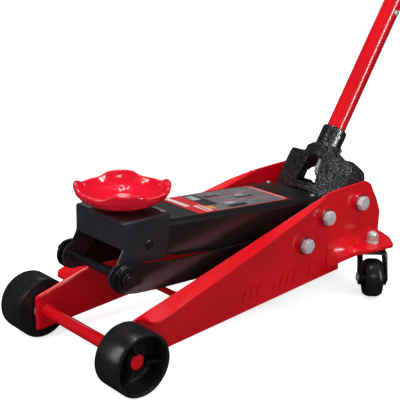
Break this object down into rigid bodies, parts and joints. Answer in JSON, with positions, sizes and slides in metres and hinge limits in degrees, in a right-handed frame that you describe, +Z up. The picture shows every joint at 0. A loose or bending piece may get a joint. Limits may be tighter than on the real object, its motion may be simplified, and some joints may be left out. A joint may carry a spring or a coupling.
{
  "type": "hydraulic floor jack",
  "caption": "Low-profile wheeled hydraulic floor jack with red side plates, a black lift arm, a dished saddle and a pumping handle.",
  "frame": {"origin": "on the floor plane, under the centre of the whole jack with its handle at rest", "axes": "+Z up; +X rearwards, from the front axle to the operator at the handle; +Y to the right-hand side of someone facing the jack's front from the handle"},
  "size_m": [1.099, 0.3156, 1.0211],
  "materials": {
    "red_paint": "gloss red enamel over steel",
    "black_paint": "gloss black enamel over steel",
    "hammered_black": "hammered black paint over cast iron",
    "saddle_red": "gloss red enamel over cast iron",
    "zinc": "bright zinc plate",
    "steel": "ground steel",
    "chrome": "hard chrome",
    "wheel_black": "moulded black polymer",
    "pump_red": "red enamel over cast iron",
    "rubber": "matt black rubber",
    "bronze": "turned bronze",
    "spring_steel": "oiled spring steel",
    "decal": "printed film in plain colour bands"
  },
  "bodies": {
    "frame": {"side_plate_left": "red_paint", "side_plate_right": "red_paint", "front_axle": "red_paint", "axle_retaining_rings": "spring_steel", "wheel_washers": "zinc", "cross_brace": "red_paint", "arm_pivot_bolts": "zinc", "link_pivot_bolts": "zinc", "yoke_pivot_bolts": "zinc", "pivot_washers": "red_paint", "pivot_spacers": "red_paint", "arm_pivot_shaft": "steel", "caster_stems": "steel", "caster_nuts": "zinc", "caster_bearings": "steel", "pump_block": "pump_red", "power_unit_mounts": "red_paint", "ram_barrel": "black_paint", "ram_gland_nut": "steel", "pump_gland": "zinc", "pump_spring": "spring_steel", "return_springs": "spring_steel", "release_valve_gland": "zinc", "oil_filler_plug": "rubber", "overload_valve_plug": "zinc"},
    "lift_arm": {"lift_arm": "black_paint", "arm_label": "decal", "ram_pin": "steel", "arm_rear_rivets": "zinc"},
    "saddle_head": {"saddle_head": "black_paint", "head_upper_pin": "steel", "head_cross_rod": "steel", "head_retaining_rings": "spring_steel"},
    "saddle": {"saddle": "saddle_red", "saddle_clip": "spring_steel"},
    "links": {"link_left": "black_paint", "link_right": "black_paint"},
    "ram": {"ram_rod": "chrome", "ram_seal": "rubber"},
    "yoke": {"handle_yoke": "hammered_black", "yoke_bushes": "bronze", "roller_pin": "steel", "handle_retaining_bolt": "zinc"},
    "roller": {"pump_roller": "steel"},
    "plunger": {"pump_plunger": "chrome"},
    "valve": {"release_valve_spindle": "zinc"},
    "handle": {"handle_lower_tube": "red_paint", "handle_upper_tube": "red_paint", "handle_grip": "rubber", "handle_end_cap": "rubber", "handle_valve_shaft": "zinc"},
    "button": {"handle_button": "zinc"},
    "front_wheel_left": {"front_wheel_left": "wheel_black"},
    "front_wheel_right": {"front_wheel_right": "wheel_black"},
    "caster_left": {"caster_fork_left": "black_paint", "caster_axle_left": "steel"},
    "caster_right": {"caster_fork_right": "black_paint", "caster_axle_right": "steel"},
    "caster_wheel_left": {"caster_wheel_left": "wheel_black"},
    "caster_wheel_right": {"caster_wheel_right": "wheel_black"}
  },
  "joints": [
    {"name": "arm_lift", "type": "hinge", "parent": "frame", "child": "lift_arm", "pos_m": [-0.08203, 0, 0.1496], "axis": [0, 1, 0], "range_deg": [-16, 42], "deforming": ["return_springs"]},
    {"name": "head_level", "type": "hinge", "parent": "lift_arm", "child": "saddle_head", "pos_m": [-0.42473, 0, 0.1731], "axis": [0, 1, 0], "range_deg": [-42.5, 16.5]},
    {"name": "saddle_swivel", "type": "hinge", "parent": "saddle_head", "child": "saddle", "pos_m": [-0.42773, 0, 0.222], "axis": [0, 0, 1], "continuous": true},
    {"name": "link_swing", "type": "hinge", "parent": "frame", "child": "links", "pos_m": [-0.13204, 0, 0.1129], "axis": [0, 1, 0], "range_deg": [-16.5, 42.5]},
    {"name": "ram_slide", "type": "slide", "parent": "frame", "child": "ram", "axis": [-1, 0, 0], "range_m": [-0.017, 0.0445]},
    {"name": "handle_pump", "type": "hinge", "parent": "frame", "child": "yoke", "pos_m": [0.00526, 0, 0.1576], "axis": [0, 1, 0], "range_deg": [-33, 42], "deforming": ["pump_spring"]},
    {"name": "pump_stroke", "type": "slide", "parent": "frame", "child": "plunger", "axis": [0, 0, -1], "range_m": [-0.0095, 0.012]},
    {"name": "handle_twist", "type": "hinge", "parent": "yoke", "child": "handle", "pos_m": [0.03822, 0, 0.25558], "axis": [0.5486, 0, 0.8361], "range_deg": [0, 180]},
    {"name": "release_valve", "type": "hinge", "parent": "frame", "child": "valve", "pos_m": [0.00626, 0, 0.14], "axis": [0, 0, 1], "range_deg": [0, 182]},
    {"name": "roller_spin", "type": "hinge", "parent": "yoke", "child": "roller", "pos_m": [0.02117, 0.04, 0.15924], "axis": [0, 1, 0], "continuous": true},
    {"name": "button_press", "type": "slide", "parent": "handle", "child": "button", "axis": [0, 1, 0], "range_m": [0, 0.004], "stiffness_N_per_m": 400},
    {"name": "front_wheel_left_spin", "type": "hinge", "parent": "frame", "child": "front_wheel_left", "pos_m": [-0.50374, -0.1178, 0.0458], "axis": [0, 1, 0], "continuous": true},
    {"name": "front_wheel_right_spin", "type": "hinge", "parent": "frame", "child": "front_wheel_right", "pos_m": [-0.50374, 0.1178, 0.0458], "axis": [0, 1, 0], "continuous": true},
    {"name": "caster_left_swivel", "type": "hinge", "parent": "frame", "child": "caster_left", "pos_m": [0.02227, -0.111, 0.079], "axis": [0, 0, 1], "continuous": true},
    {"name": "caster_right_swivel", "type": "hinge", "parent": "frame", "child": "caster_right", "pos_m": [0.02227, 0.111, 0.079], "axis": [0, 0, 1], "continuous": true},
    {"name": "caster_wheel_left_spin", "type": "hinge", "parent": "caster_left", "child": "caster_wheel_left", "pos_m": [0.00726, -0.12709, 0.0325], "axis": [0.7314, -0.682, 0], "continuous": true},
    {"name": "caster_wheel_right_spin", "type": "hinge", "parent": "caster_right", "child": "caster_wheel_right", "pos_m": [0.00726, 0.12709, 0.0325], "axis": [-0.7314, -0.682, 0], "continuous": true}
  ],
  "couplings": [
    {"joint": "head_level", "follows": "arm_lift", "ratio": -1},
    {"joint": "link_swing", "follows": "arm_lift", "ratio": 1},
    {"joint": "ram_slide", "follows": "arm_lift", "m_per_rad": 0.0595},
    {"joint": "pump_stroke", "follows": "handle_pump", "m_per_rad": 0.0154},
    {"joint": "release_valve", "follows": "handle_twist", "ratio": 1}
  ]
}
